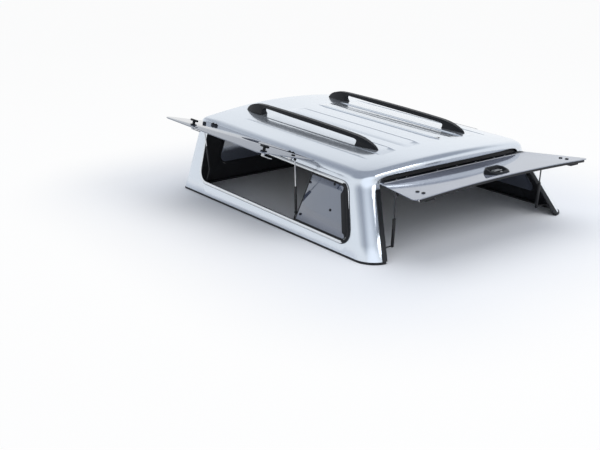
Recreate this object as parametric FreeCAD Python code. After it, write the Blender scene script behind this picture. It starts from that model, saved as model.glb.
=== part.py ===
"""Hard canopy for a pickup load bed: moulded shell, lift-up side glass, rear glass door, roof rails.

Units are millimetres. The origin is the middle of the base's front edge, on the underside of the
base seal. X points right, Y forward and Z up, so the canopy runs from y = 0 back to -Y.
"""
import FreeCAD, Part
import math
import os

V = FreeCAD.Vector

# Overall sizes of the shell
base_length = 1872.0
base_width = 1578.0
crown_height = 508.0
side_lean = 0.34
rear_rake = 0.60
roof_fall = 0.020
shoulder_drop = 60.0
shoulder_bend = 30.0
shoulder_run = 42.0
shoulder_lift = 9.0
wall = 6.0
lining = 3.0
lining_gap = 0.3
lining_margin = 16.0
seal_height = 12.0
corner_radius = 120.0
corner_overlap = 0.4
hood_angle = 10.8
hood_recess = 44.0
hood_rise = 0.34
hood_corner = 75.0
hood_start = 1400.0
hood_drop = 26.0

# Raised ribs on the roof, two on each side of the middle
rib_height = 4.5
rib_width = 110.0
rib_slope = 9.0
inner_rib_offset = 135.0
outer_rib_offset = 325.0
rib_front = 320.0
rib_rear = 1490.0
rib_fade = 110.0

# Rear opening, its header and its glass door
opening_height = 366.0
pillar_width = 114.0
opening_base_width = base_width - 2 * pillar_width
header_set = 2.0
header_thickness = 20.0
header_gap = 5.0
glass_thickness = 5.0
door_overlap = 12.0
door_back = 9.5
door_start = 16.0
door_length = 408.0
door_bow = 20.0
door_edge_bow = 0.6
door_open_angle = 2.8
hinge_inset = 56.0
knuckle_radius = 3.5
rear_seal_width = 30.0
rear_seal_height = 3.0

# Door handle, lock and side latches, as distances from the hinge along the glass
handle_along = 325.0
handle_half = 62.0
handle_rise = 9.0
latch_x = 566.0
latch_half = 34.0
latch_depth = 18.0

# Side windows, as heights and distances behind the front edge
window_front = 122.0
window_rear = 1526.0
window_top = 386.0
window_bottom = 88.0
window_front_sweep = 48.0
window_rear_sweep = 138.0
window_top_slope = 0.026
window_low_slope = 0.012
split_top = 1236.0
split_bottom = 1172.0
rim_width = 14.0
rim_height = 5.0
pane_seal_width = 9.0
lift_hinge_height = 436.0
lift_front = window_front - 26.0
lift_stand = rim_height + 1.0
lift_overlap_front = 8.0
lift_overlap_rear = 20.0
lift_open_angle = 14.4
handle_edge = 75.0
front_handle_back = 395.0
rear_handle_back = 1125.0
handle_arm = 76.0
front_hinge_along = 90.0
rear_hinge_along = 905.0
front_strut_back = 225.0
front_strut_foot = 168.0
rear_strut_back = 1160.0
rear_strut_foot = 118.0
lift_strut_drop = 105.0
strut_stay_foot = 60.0

# Front window
front_wall_beside = 269.0
front_window_width = base_width - 2 * front_wall_beside
front_window_bottom = 112.0
front_window_top = 372.0
front_window_radius = 52.0

# Roof rails
rail_offset = 345.0
rail_front = 124.0
rail_length = 1282.0
rail_height = 62.0
rail_width = 34.0
rail_depth = 21.0
rail_seat = 15.0

# Gas struts of the rear door
strut_tube = 18.0
strut_rod = 8.0
strut_bore = 9.0
strut_inset = 97.0
strut_x = opening_base_width / 2.0 - strut_inset
strut_foot_back = base_length - 72.0
strut_foot_height = 60.0
strut_arm = 160.0
strut_drop = 20.0
strut_body = 146.0
strut_eye = 14.0
strut_grip = 20.0
pivot_gap = 0.6

half = base_width / 2.0
lean_angle = math.degrees(math.atan(side_lean))
up_slope = V(side_lean, 0, 1)
up_slope.normalize()
side_normal = V(-math.cos(math.radians(lean_angle)), 0, math.sin(math.radians(lean_angle)))


def solid_of(shape):
    """The one solid that a shape holds, or the shape itself where it holds several."""
    return shape.Solids[0] if len(shape.Solids) == 1 else Part.Compound(shape.Solids)


def mirror(shape):
    """The same piece on the other side of the canopy."""
    return shape.mirror(V(0, 0, 0), V(1, 0, 0))


def rounded(points, radii):
    """A closed wire through the corner points, with each corner rounded by its radius."""
    edges = []
    ends = []
    count = len(points)
    for i in range(count):
        before = (points[i - 1] - points[i]).normalize()
        after = (points[(i + 1) % count] - points[i]).normalize()
        turn = before.getAngle(after)
        cut = radii[i] / math.tan(turn / 2.0)
        middle = (before + after).normalize()
        centre = points[i] + middle * (radii[i] / math.sin(turn / 2.0))
        ends.append((points[i] + before * cut, centre - middle * radii[i], points[i] + after * cut))
    for i in range(count):
        start, mid, end = ends[i]
        edges.append(Part.Arc(start, mid, end).toShape())
        edges.append(Part.LineSegment(end, ends[(i + 1) % count][0]).toShape())
    return Part.Wire(edges)


def plate(wire, thrust):
    """A plate from a flat closed wire, as thick as the thrust is long."""
    return Part.Face(wire).extrude(thrust)


def ring(outer, inner, thrust):
    """A flat ring between two closed wires in one plane."""
    return plate(outer, thrust).cut(plate(inner, thrust))


def rod(start, end, radius):
    """A round bar between two points."""
    return Part.makeCylinder(radius, (end - start).Length, start, end - start)


def crown(back):
    """Height of the roof's middle line at a distance behind the front edge."""
    tail = max(0.0, back - hood_start) / (base_length - hood_start)
    return crown_height - roof_fall * back - hood_drop * tail * tail


def section(back, inset, foot):
    """The canopy's cross-section: leaning sides, rounded shoulders and a crowned roof."""
    top = crown(back) - inset
    shoulder = crown(back) - shoulder_drop - inset * 0.8
    side = half - inset / math.cos(math.radians(lean_angle))
    low = V(side - side_lean * foot, -back, foot)
    bend_foot = shoulder - shoulder_bend
    lower = V(side - side_lean * bend_foot, -back, bend_foot)
    corner = V(side - side_lean * shoulder, -back, shoulder)
    upper = V(corner.x - shoulder_run, -back, shoulder + shoulder_lift)
    bend = lower * 0.25 + corner * 0.5 + upper * 0.25

    def across(point):
        return V(-point.x, point.y, point.z)

    edges = [
        Part.LineSegment(low, lower).toShape(),
        Part.Arc(lower, bend, upper).toShape(),
        Part.Arc(upper, V(0, -back, top), across(upper)).toShape(),
        Part.Arc(across(upper), across(bend), across(lower)).toShape(),
        Part.LineSegment(across(lower), across(low)).toShape(),
        Part.LineSegment(across(low), low).toShape(),
    ]
    return Part.Wire(edges)


def body_loft(inset, front, foot):
    """The canopy's body as one loft of cross-sections, running past the rear opening."""
    end = base_length + 30.0
    stations = [front + (end - front) * step / 4.0 for step in range(5)]
    return Part.makeLoft([section(back, inset, foot) for back in stations], True, False)


def rear_line(height):
    """Distance of the rear opening's plane behind the front edge, at a height."""
    return base_length - rear_rake * height


def plan_low(height, inset):
    """Plan outline of the lower body: the rear corners are rounded."""
    side = half - side_lean * height - inset + corner_overlap
    back = rear_line(height) - inset
    r = corner_radius - inset
    diagonal = r * (1 - math.sqrt(0.5))
    clear = 60.0
    pts = [
        V(side + clear, 60, height),
        V(side + clear, -back + r + clear, height),
        V(side, -back + r, height),
        V(side - diagonal, -back + diagonal, height),
        V(side - r, -back, height),
    ]
    other = [V(-p.x, p.y, p.z) for p in pts]
    edges = [
        Part.LineSegment(pts[0], pts[1]).toShape(),
        Part.LineSegment(pts[1], pts[2]).toShape(),
        Part.Arc(pts[2], pts[3], pts[4]).toShape(),
        Part.LineSegment(pts[4], other[4]).toShape(),
        Part.Arc(other[4], other[3], other[2]).toShape(),
        Part.LineSegment(other[2], other[1]).toShape(),
        Part.LineSegment(other[1], other[0]).toShape(),
        Part.LineSegment(other[0], pts[0]).toShape(),
    ]
    return Part.Wire(edges)


def plan_hood(height, inset):
    """Plan outline of the roof: its rear edge bows out over the door as a hood."""
    side = half - side_lean * height - inset + corner_overlap
    back = rear_line(opening_height) - inset
    r = corner_radius - inset
    swing = math.radians(hood_angle)
    half_swing = math.radians(45 + hood_angle / 2.0)
    clear = 60.0
    meet = V(side - r + r * math.sin(swing), -back + r - r * math.cos(swing), height)
    on_corner = V(side - r + r * math.sin(half_swing), -back + r - r * math.cos(half_swing), height)
    bow = meet.x * math.tan(swing / 2.0)
    pts = [
        V(side + clear, 60, height),
        V(side + clear, -back + r + clear, height),
        V(side, -back + r, height),
    ]
    other = [V(-p.x, p.y, p.z) for p in pts]
    far = V(-meet.x, meet.y, meet.z)
    far_corner = V(-on_corner.x, on_corner.y, on_corner.z)
    edges = [
        Part.LineSegment(pts[0], pts[1]).toShape(),
        Part.LineSegment(pts[1], pts[2]).toShape(),
        Part.Arc(pts[2], on_corner, meet).toShape(),
        Part.Arc(meet, V(0, meet.y - bow, height), far).toShape(),
        Part.Arc(far, far_corner, other[2]).toShape(),
        Part.LineSegment(other[2], other[1]).toShape(),
        Part.LineSegment(other[1], other[0]).toShape(),
        Part.LineSegment(other[0], pts[0]).toShape(),
    ]
    return Part.Wire(edges)


def body(inset, front, foot):
    """The canopy as a closed solid: the loft, trimmed by its rear plane and by the hood."""
    loft = body_loft(inset, front, foot)
    low = Part.makeLoft([plan_low(-60.0, inset), plan_low(620.0, inset)], True, True)
    hood = Part.makeLoft([plan_hood(-60.0, inset), plan_hood(620.0, inset)], True, True)
    lip = hood_lip_block()
    return solid_of(loft.common(low).fuse(loft.common(hood).common(lip)).removeSplitter())


def hood_lip_block():
    """Everything above the hood's lower edge, which rises towards the back."""
    start = rear_line(opening_height)
    low = opening_height + hood_recess - 8.0
    reach = 400.0
    points = [
        V(-900, 100, low - hood_rise * (start + 100)),
        V(-900, -start - reach, low + hood_rise * reach),
        V(-900, -start - reach, 900),
        V(-900, 100, 900),
    ]
    wire = Part.makePolygon(points + [points[0]])
    return plate(wire, V(1800, 0, 0))


def split_height(back):
    """Height of the joint line between the roof moulding and the walls."""
    return opening_height + 34.0 - roof_fall * back


def split_block():
    """Everything above the joint line of roof and walls."""
    points = [
        V(-900, 100, split_height(-100)),
        V(-900, -base_length - 100, split_height(base_length + 100)),
        V(-900, -base_length - 100, 900),
        V(-900, 100, 900),
    ]
    wire = Part.makePolygon(points + [points[0]])
    return plate(wire, V(1800, 0, 0))


def side_point(back, height, out=0.0):
    """A point on the left side's outer face, or standing out from it."""
    return V(-(half - side_lean * height), -back, height) + side_normal * out


def window_outline(grow, out):
    """The side window's outline on the left side's face, grown all round by an amount."""
    low_front = window_front + window_front_sweep
    low_rear = window_rear + window_rear_sweep
    rear_top = window_top - window_top_slope * (window_rear - window_front)
    rear_bottom = window_bottom - window_low_slope * (low_rear - low_front)
    points = [
        side_point(window_front - grow, window_top + grow, out),
        side_point(window_rear + grow, rear_top + grow, out),
        side_point(low_rear + grow, rear_bottom - grow, out),
        side_point(low_front - grow, window_bottom - grow, out),
    ]
    return rounded(points, [max(4.0, r + grow) for r in (34.0, 62.0, 46.0, 92.0)])


def opening_wire(back, grow):
    """The rear opening's outline in a plane across the canopy, up to the hood's lip."""
    low = opening_base_width / 2.0 + grow
    height = opening_height + hood_recess
    top = low - side_lean * height
    points = [
        V(-low - side_lean * 60, -back, -60),
        V(low + side_lean * 60, -back, -60),
        V(top, -back, height),
        V(-top, -back, height),
    ]
    return rounded(points, [2.0, 2.0, hood_corner, hood_corner])


def rear_cutter(grow):
    """The rear opening as a block that passes through the rear plane only."""
    return plate(opening_wire(base_length + 100, grow), V(0, 700, 0))


outer_body = body(0.0, 0.0, seal_height)
inner_body = body(wall, wall, -40.0)
lined_body = body(wall + lining_gap, wall + lining_gap, -40.0)


def shell():
    """The moulded shell, with its window and rear openings cut through."""
    hollow = outer_body.cut(inner_body)
    window = plate(window_outline(0.0, -60.0), side_normal * 120)
    hollow = hollow.cut(window).cut(mirror(window))
    hollow = hollow.cut(plate(front_window_outline(0.0, 60.0), V(0, -200, 0)))
    return hollow.cut(rear_cutter(0.0))


def front_window_outline(grow, y):
    """The front window's outline across the canopy, grown all round by an amount."""
    low = front_window_width / 2.0 + grow
    top = low - side_lean * (front_window_top - front_window_bottom)
    points = [
        V(-low, y, front_window_bottom - grow),
        V(low, y, front_window_bottom - grow),
        V(top, y, front_window_top + grow),
        V(-top, y, front_window_top + grow),
    ]
    return rounded(points, [front_window_radius + grow] * 4)


def roof_surface(across, back):
    """Height of the roof's outer face at a distance from the middle line and from the front."""
    shoulder = crown(back) - shoulder_drop
    span = half - side_lean * shoulder - shoulder_run
    rise = shoulder_drop - shoulder_lift
    radius = (span * span + rise * rise) / (2 * rise)
    return crown(back) - radius + math.sqrt(radius * radius - across * across)


def roof_rib(offset):
    """One raised rib on the left of the roof, fading into it at both ends."""
    wires = []
    near = offset - rib_width / 2.0
    far = offset + rib_width / 2.0
    for back, rise in (
        (rib_front, -1.0),
        (rib_front + rib_fade, rib_height),
        (rib_rear - rib_fade, rib_height),
        (rib_rear, -1.0),
    ):
        inner_edge = roof_surface(near, back)
        outer_edge = roof_surface(far, back)
        points = [
            V(-near, -back, inner_edge - 3.5),
            V(-near - rib_slope, -back, inner_edge + rise),
            V(-far + rib_slope, -back, outer_edge + rise),
            V(-far, -back, outer_edge - 3.5),
        ]
        wires.append(Part.makePolygon(points + [points[0]]))
    return Part.makeLoft(wires, True, True)


def roof_ribs():
    """All four ribs of the roof."""
    left = [roof_rib(inner_rib_offset), roof_rib(outer_rib_offset)]
    return left + [mirror(rib) for rib in left]


def shell_pieces(whole):
    """The roof, the two sides and the front wall, parted along the shell's own edges."""
    above = split_block()
    roof = whole.common(above).fuse(roof_ribs()).removeSplitter()
    walls = whole.cut(above)
    front_block = Part.makeBox(1800, 100, 900, V(-900, -wall, -100))
    left_block = Part.makeBox(900, 2200, 900, V(-900, -wall - 2200, -100))
    front = walls.common(front_block)
    left = walls.common(left_block)
    return {
        "roof_shell": roof,
        "front_panel": front,
        "left_side_shell": left,
        "right_side_shell": mirror(left),
    }


def base_seal():
    """Rubber strip under both sides and the front wall."""
    width = 24.0
    outline = []
    for inset in (0.0, width):
        side = half - inset
        end = rear_line(0) - corner_radius + 30
        outline.append((side, end))
    outer, inner = outline
    points = [
        V(-outer[0], -outer[1], 0),
        V(-outer[0], 0, 0),
        V(outer[0], 0, 0),
        V(outer[0], -outer[1], 0),
        V(inner[0], -inner[1], 0),
        V(inner[0], -width, 0),
        V(-inner[0], -width, 0),
        V(-inner[0], -inner[1], 0),
    ]
    return plate(Part.makePolygon(points + [points[0]]), V(0, 0, seal_height))


def window_parts():
    """Everything on the left side window, closed: rim, fixed pane, its seal and the lift glass."""
    rim = ring(window_outline(rim_width, 0.0), window_outline(-3.0, 0.0), side_normal * rim_height)
    lining = ring(window_outline(-0.2, -wall), window_outline(-3.0, -wall), side_normal * wall)
    rim = rim.fuse(lining).removeSplitter()
    whole_pane = plate(window_outline(-3.4, -wall), side_normal * glass_thickness)
    keep = [
        side_point(split_top + 4, window_top + 60, -40),
        side_point(window_rear + 400, window_top + 60, -40),
        side_point(window_rear + 400, -60, -40),
        side_point(split_bottom + 4 - (split_top - split_bottom) * 0.3, -60, -40),
    ]
    keep_block = plate(Part.makePolygon(keep + [keep[0]]), side_normal * 80)
    pane = whole_pane.common(keep_block)
    shrink = [
        side_point(split_top + 4 + pane_seal_width, window_top + 60, -40),
        side_point(window_rear + 400, window_top + 60, -40),
        side_point(window_rear + 400, -60, -40),
        side_point(split_bottom + 4 + pane_seal_width - (split_top - split_bottom) * 0.3, -60, -40),
    ]
    shrink_block = plate(Part.makePolygon(shrink + [shrink[0]]), side_normal * 80)
    inner = plate(window_outline(-3.4 - pane_seal_width, -wall), side_normal * glass_thickness)
    inner = inner.common(shrink_block)
    seal = pane.cut(inner)
    return {"window_rim": rim, "fixed_pane": inner, "pane_seal": seal}


def lift_glass():
    """The frameless lift-up glass over the front of the left window, closed."""
    a, b = hinge_line()
    points = [
        a,
        b,
        side_point(split_bottom - 6, window_bottom - lift_overlap_rear, lift_stand),
        side_point(lift_front + window_front_sweep, window_bottom - lift_overlap_front, lift_stand),
    ]
    return plate(rounded(points, [16.0, 14.0, 14.0, 92.0]), side_normal * glass_thickness)


def hinge_line():
    """Two points on the lift glass's hinge axis, on its outer edge."""
    rear_height = lift_hinge_height - roof_fall * (split_top - lift_front)
    a = side_point(lift_front, lift_hinge_height, lift_stand)
    b = side_point(split_top, rear_height, lift_stand)
    return a, b


def opened(shape):
    """A closed side-window piece, swung up about its hinge line."""
    a, b = hinge_line()
    turned = shape.copy()
    turned.rotate(a, a - b, 90.0 - lean_angle + lift_open_angle)
    return turned


def t_handle(back, locked):
    """A T-handle on the closed lift glass: base, stem and grip outside, boss and latch arm inside."""
    low_front = lift_front + window_front_sweep
    share = (back - low_front) / (split_bottom - low_front)
    edge = window_bottom - lift_overlap_front - (lift_overlap_rear - lift_overlap_front) * share
    height = edge + handle_edge * up_slope.z
    way = up_slope * -1 if locked else V(0, -1, 0)
    wide = V(0, 1, 0) if locked else up_slope
    foot = side_point(back, height, lift_stand + glass_thickness)
    base = Part.makeCylinder(15, 5, foot, side_normal)
    stem = Part.makeCylinder(7, 26, foot + side_normal * 5, side_normal)
    grip = Part.makeCylinder(6, 52, foot + side_normal * 26 - way * 26, way)
    inside = side_point(back, height, lift_stand)
    boss = Part.makeCylinder(9, 22, inside, side_normal * -1)
    root = inside - side_normal * 18
    corners = [
        root - way * 8 - wide * 8,
        root + way * handle_arm - wide * 8,
        root + way * handle_arm + wide * 8,
        root - way * 8 + wide * 8,
    ]
    arm = plate(rounded(corners, [3.0, 3.0, 3.0, 3.0]), side_normal * -4)
    return Part.Compound([solid_of(base.fuse([stem, grip])), solid_of(boss.fuse(arm))])


def t_handles(locked):
    """Both T-handles of the left lift glass."""
    return Part.Compound([t_handle(front_handle_back, locked), t_handle(rear_handle_back, locked)])


def window_hinges():
    """Two hinge blocks on the left side, under the lift glass's upper edge."""
    a, b = hinge_line()
    along = (b - a).normalize()
    blocks = []
    for place in (front_hinge_along, rear_hinge_along):
        top = a + along * place - side_normal * lift_stand
        reach = along * 24
        points = [top - reach, top + reach, top + reach - up_slope * 30, top - reach - up_slope * 30]
        blocks.append(plate(rounded(points, [3, 3, 3, 3]), side_normal * (lift_stand - 0.3)))
    return Part.Compound(blocks)


def swung(point):
    """Where a point of the closed lift glass lies with the glass raised."""
    a, b = hinge_line()
    turn = FreeCAD.Rotation(a - b, 90.0 - lean_angle + lift_open_angle)
    return a + turn.multVec(point - a)


def window_strut(back, foot_height, raised):
    """A gas strut of the lift glass with its two end plates, with the glass raised or closed."""
    foot = side_point(back, foot_height, -16)
    head = side_point(back, lift_hinge_height - lift_strut_drop, -8)
    inner = side_point(back, lift_hinge_height - lift_strut_drop, lift_stand - 0.3)
    if raised:
        head = swung(head)
        inner = swung(inner)
    way = (head - foot).normalize()
    tube = Part.makeCylinder(7, 148, foot + way * 7, way)
    shaft = rod(foot + way * 100, head, 3)
    lower = Part.makeCylinder(8, 10, foot - V(0, 5, 0), V(0, 1, 0))
    upper = Part.makeCylinder(7, 10, head - V(0, 5, 0), V(0, 1, 0))
    stem = rod(head, inner, 4)
    stay_depth = wall + lining_gap + lining + 4.1
    stay = rod(foot, side_point(back, strut_stay_foot, -stay_depth), 4)
    return tube.fuse([shaft, lower, upper, stem, stay])


def window_struts(raised):
    """Both gas struts of the left lift glass."""
    front = window_strut(front_strut_back, front_strut_foot, raised)
    rear = window_strut(rear_strut_back, rear_strut_foot, raised)
    return Part.Compound([front, rear])


def rear_axis():
    """The rear door's hinge axis, as its distance behind the front edge and its height."""
    return rear_line(opening_height) + 2.0, opening_height - 6.0


def door_point(along, across, inward):
    """A point on the open rear door: along it from the hinge, across it, and below it."""
    back, height = rear_axis()
    tilt = math.radians(door_open_angle)
    y = -back - along * math.cos(tilt) - inward * math.sin(tilt)
    z = height + along * math.sin(tilt) - inward * math.cos(tilt)
    return V(across, y, z)


def door_down():
    """The direction from the open door's outer face to its inner face."""
    tilt = math.radians(door_open_angle)
    return V(0, -math.sin(tilt), -math.cos(tilt))


def door_plate(half_near, half_far, near, far, top, thickness, radii):
    """A flat plate on the open door, between two distances from the hinge."""
    points = [
        door_point(near, -half_near, top),
        door_point(near, half_near, top),
        door_point(far, half_far, top),
        door_point(far, -half_far, top),
    ]
    return plate(rounded(points, radii), door_down() * thickness)


def door_half(along):
    """Half the width of the door's glass at a distance from the hinge."""
    top_half = opening_base_width / 2.0 - side_lean * opening_height + door_overlap
    return top_half + side_lean * along * math.cos(math.atan(rear_rake))


def door_layer(top, thickness):
    """A bowed layer of the open door between two depths, as wide and as long as the glass."""
    wires = []
    for along, bow in ((door_start, door_edge_bow), (door_length, door_bow)):
        reach = door_half(along)
        low = top + thickness
        upper_left = door_point(along, -reach, top)
        upper_right = door_point(along, reach, top)
        lower_left = door_point(along, -reach, low)
        lower_right = door_point(along, reach, low)
        edges = [
            Part.Arc(upper_left, door_point(along, 0, top - bow), upper_right).toShape(),
            Part.LineSegment(upper_right, lower_right).toShape(),
            Part.Arc(lower_right, door_point(along, 0, low - bow), lower_left).toShape(),
            Part.LineSegment(lower_left, upper_left).toShape(),
        ]
        wires.append(Part.Wire(edges))
    return Part.makeLoft(wires, True, True)


def door_rise():
    """How far the bowed glass stands out at the handle, above its flat side edges."""
    return door_bow * (handle_along - door_start) / (door_length - door_start)


def door_hinge_strip():
    """The door's hinge half: a strip under the glass, a web, a tongue and a full-width knuckle."""
    reach = door_half(0) - hinge_inset
    inner = -door_back
    strip = door_plate(reach, reach, 6.0, 30.0, inner - 1.0, 5.0, [2, 2, 2, 2])
    web = door_plate(reach, reach, 6.0, 10.0, inner + 2.0, door_back - 2.0, [0.5, 0.5, 0.5, 0.5])
    tongue = door_plate(reach, reach, 0.0, 9.0, -3.4, 3.4, [0.5, 0.5, 0.5, 0.5])
    knuckle = rod(door_point(0, -reach, 0), door_point(0, reach, 0), knuckle_radius)
    return strip.fuse([web, tongue, knuckle])


def rear_door():
    """The rear glass door with its hinge strip, handle, latches and rods, all open."""
    face = -door_back - glass_thickness
    inner = -door_back
    rise = door_rise()
    above = door_layer(inner - 60.0, 60.0)
    below = door_layer(face, 60.0)
    blank = door_plate(door_half(door_start), door_half(door_length), door_start, door_length, face - 60, 90, [14, 14, 26, 26])
    glass = door_layer(face, glass_thickness).common(blank)
    near = handle_along - 25
    far = handle_along + 25
    top = face - rise - handle_rise
    base = door_plate(handle_half, handle_half, near, far, top, handle_rise + 6, [24, 24, 24, 24])
    base = base.cut(door_plate(44, 44, near + 9, far - 9, top - 0.5, 6.5, [4, 4, 4, 4])).cut(below)
    paddle = door_plate(38, 38, near + 12, far - 14, top + 0.2, 3.0, [3, 3, 6, 6])
    pivot_along = near + 14.5
    pivot_depth = top + 2.6
    pivot = rod(door_point(pivot_along, -43.6, pivot_depth), door_point(pivot_along, 43.6, pivot_depth), 2.4)
    lock = rod(door_point(handle_along, 0, inner - rise - 3), door_point(handle_along, 0, inner - rise + 16), 17)
    pieces = {
        "rear_door_glass": glass,
        "rear_door_hinge_strip": door_hinge_strip().cut(above),
        "rear_handle_base": base,
        "rear_handle_paddle": paddle.fuse(pivot),
        "rear_lock_body": lock.cut(above),
    }
    for name, sign in (("left", -1), ("right", 1)):
        start = door_length - 56
        end = door_length - 8
        depth = inner - door_bow
        points = [
            door_point(start, sign * (latch_x - latch_half), depth),
            door_point(start, sign * (latch_x + latch_half), depth),
            door_point(end, sign * (latch_x + latch_half), depth),
            door_point(end, sign * (latch_x - latch_half), depth),
        ]
        housing = plate(rounded(points, [8, 8, 8, 8]), door_down() * (latch_depth + door_bow))
        pieces[name + "_latch_housing"] = housing.cut(above)
        rod_start = door_point(handle_along + 5, sign * 16.9, inner - rise + 10)
        rod_end = door_point(start + 16, sign * (latch_x - latch_half - 0.5), inner + 10)
        pieces[name + "_latch_rod"] = rod(rod_start, rod_end, 4)
    return pieces


def rear_hinge_rail():
    """Fixed hinge rail under the header, over the door's knuckle."""
    back, height = rear_axis()
    low = height + knuckle_radius + 0.5
    start = rear_line(opening_height)
    rail_half = door_half(0) - hinge_inset
    face = header_set - rear_line(low) - 0.1
    points = [
        V(-rail_half, face, low),
        V(-rail_half, -back - 5.0, low),
        V(-rail_half, -back - 5.0, low + 10),
        V(-rail_half, face + rear_rake * 10, low + 10),
    ]
    return plate(Part.makePolygon(points + [points[0]]), V(2 * rail_half, 0, 0))


def rear_seals():
    """Rubber seal on the left pillar's rear face, that the closed door presses on."""
    band = rear_cutter(rear_seal_width).cut(rear_cutter(0.4))
    away = V(0, -1, rear_rake)
    away.normalize()
    low = seal_height
    high = opening_height - 26
    points = [
        V(-900, -rear_line(low) - 0.3, low),
        V(-900, -rear_line(high) - 0.3, high),
    ]
    points = points + [points[1] + away * rear_seal_height, points[0] + away * rear_seal_height]
    slab = plate(Part.makePolygon(points + [points[0]]), V(900, 0, 0))
    return band.common(slab)


def strut_geometry():
    """Foot and door ends of the left gas strut, with the door open, and its direction."""
    foot = V(-strut_x, -strut_foot_back, strut_foot_height)
    head = door_point(strut_arm, -strut_x, strut_drop)
    way = head - foot
    length = way.Length
    way.normalize()
    return foot, head, way, length


def struts():
    """The left gas strut: a tube on the pillar's stud, and a rod that ends beside the door's stud."""
    foot, head, way, length = strut_geometry()
    tube_start = foot + way * (strut_eye * 0.5)
    tube = Part.makeCylinder(strut_tube / 2, strut_body, tube_start, way)
    eye = Part.makeCylinder(strut_eye / 2 + 1, 10, foot + V(-5, 0, 0), V(1, 0, 0))
    tube = tube.fuse(eye)
    bore_start = tube_start + way * 8
    bore = Part.makeCylinder(strut_bore / 2, strut_body, bore_start, way)
    pin_hole = Part.makeCylinder(4.3, 40, foot + V(-20, 0, 0), V(1, 0, 0))
    tube = tube.cut(bore).cut(pin_hole)
    shaft_end = head - way * (strut_eye * 0.4)
    reach = length - strut_eye * 0.9 - strut_body + strut_grip
    shaft = Part.makeCylinder(strut_rod / 2, reach, shaft_end - way * reach, way)
    rod_eye = Part.makeCylinder(strut_eye / 2 + 1, 10, head + V(-5, 0, 0), V(1, 0, 0))
    return tube, shaft.fuse(rod_eye)


def strut_brackets():
    """The pillar's ball stud and the door's bracket for the left strut."""
    foot, head, way, length = strut_geometry()
    edge = opening_base_width / 2.0 - side_lean * foot.z
    stand = edge + 16
    pin = Part.makeCylinder(4.0, stand + foot.x + 6, V(-stand, foot.y, foot.z), V(1, 0, 0))
    inner_face = -rear_line(foot.z) + wall + 5.0
    tab = [
        V(-stand - 3, inner_face + rear_rake * -26, foot.z - 26),
        V(-stand - 3, inner_face + rear_rake * 26, foot.z + 26),
        V(-stand - 3, foot.y + 12, foot.z + 10),
        V(-stand - 3, foot.y + 12, foot.z - 10),
    ]
    bracket = pin.fuse(plate(Part.makePolygon(tab + [tab[0]]), V(3, 0, 0)))
    lug_x = head.x + 5 + pivot_gap
    along = strut_arm
    points = [
        door_point(along - 22, lug_x, -door_back - 3),
        door_point(along + 22, lug_x, -door_back - 3),
        door_point(along + 9, lug_x, strut_drop + 9),
        door_point(along - 9, lug_x, strut_drop + 9),
    ]
    lug = plate(Part.makePolygon(points + [points[0]]), V(3, 0, 0))
    return bracket, lug.cut(door_layer(-door_back - 60, 60))


def rail_profile():
    """The left rail seen from the side: a low nose, a straight bar and a tail that runs to a point."""
    front = rail_front
    rear = rail_front + rail_length
    low_front = crown(front) - rail_seat
    low_rear = crown(rear) - rail_seat
    top_front = low_front + rail_height
    top_rear = low_rear + rail_height
    x = -rail_offset - rail_width / 2

    def at(back, height):
        return V(x, -back, height)

    outside = [
        at(front, low_front - 14),
        at(front, low_front + 9),
        at(front + 84, top_front),
        at(rear - 196, top_rear),
        at(rear, low_rear + 3),
        at(rear, low_rear - 14),
    ]
    gap = [
        at(front + 112, low_front - 40),
        at(front + 140, top_front - rail_depth),
        at(rear - 204, top_rear - rail_depth),
        at(rear - 176, low_rear - 40),
    ]
    across = V(rail_width, 0, 0)
    bar = plate(rounded(outside, [2.0, 14.0, 70.0, 190.0, 8.0, 2.0]), across)
    return bar.cut(plate(rounded(gap, [2.0, 20.0, 16.0, 2.0]), across))


def rail_envelope():
    """The left rail's plan and section: narrow at both ends, tapered and rounded along the top."""
    front = rail_front
    rear = rail_front + rail_length
    wide = rail_width / 2.0
    outline = []
    for back, reach in ((front, 7.0), (front + 90, wide), (rear - 170, wide), (rear, 4.5)):
        outline.append(V(-rail_offset - reach, -back, 400))
    other = [V(-2 * rail_offset - p.x, p.y, p.z) for p in reversed(outline)]
    plan = plate(rounded(outline + other, [6, 160, 160, 4, 4, 160, 160, 6]), V(0, 0, 300))
    low = crown(front) - rail_seat
    fall = crown(rear) - crown(front)
    section_points = [
        V(-rail_offset - wide, -front + 5, low - 40),
        V(-rail_offset + wide, -front + 5, low - 40),
        V(-rail_offset + wide, -front + 5, low + rail_height - 30),
        V(-rail_offset + wide - 5, -front + 5, low + rail_height - 0.3),
        V(-rail_offset - wide + 5, -front + 5, low + rail_height - 0.3),
        V(-rail_offset - wide, -front + 5, low + rail_height - 30),
    ]
    across = rounded(section_points, [1, 1, 20, 8, 8, 20])
    way = V(0, front - rear, fall)
    stretch = 1.0 + 10.0 / rail_length
    return plan.common(plate(across, way * stretch))


def roof_rail():
    """The left roof rail, seated on the roof and on its outer rib."""
    rail = rail_profile().common(rail_envelope()).cut(outer_body)
    return solid_of(rail.cut(roof_rib(outer_rib_offset)))


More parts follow.
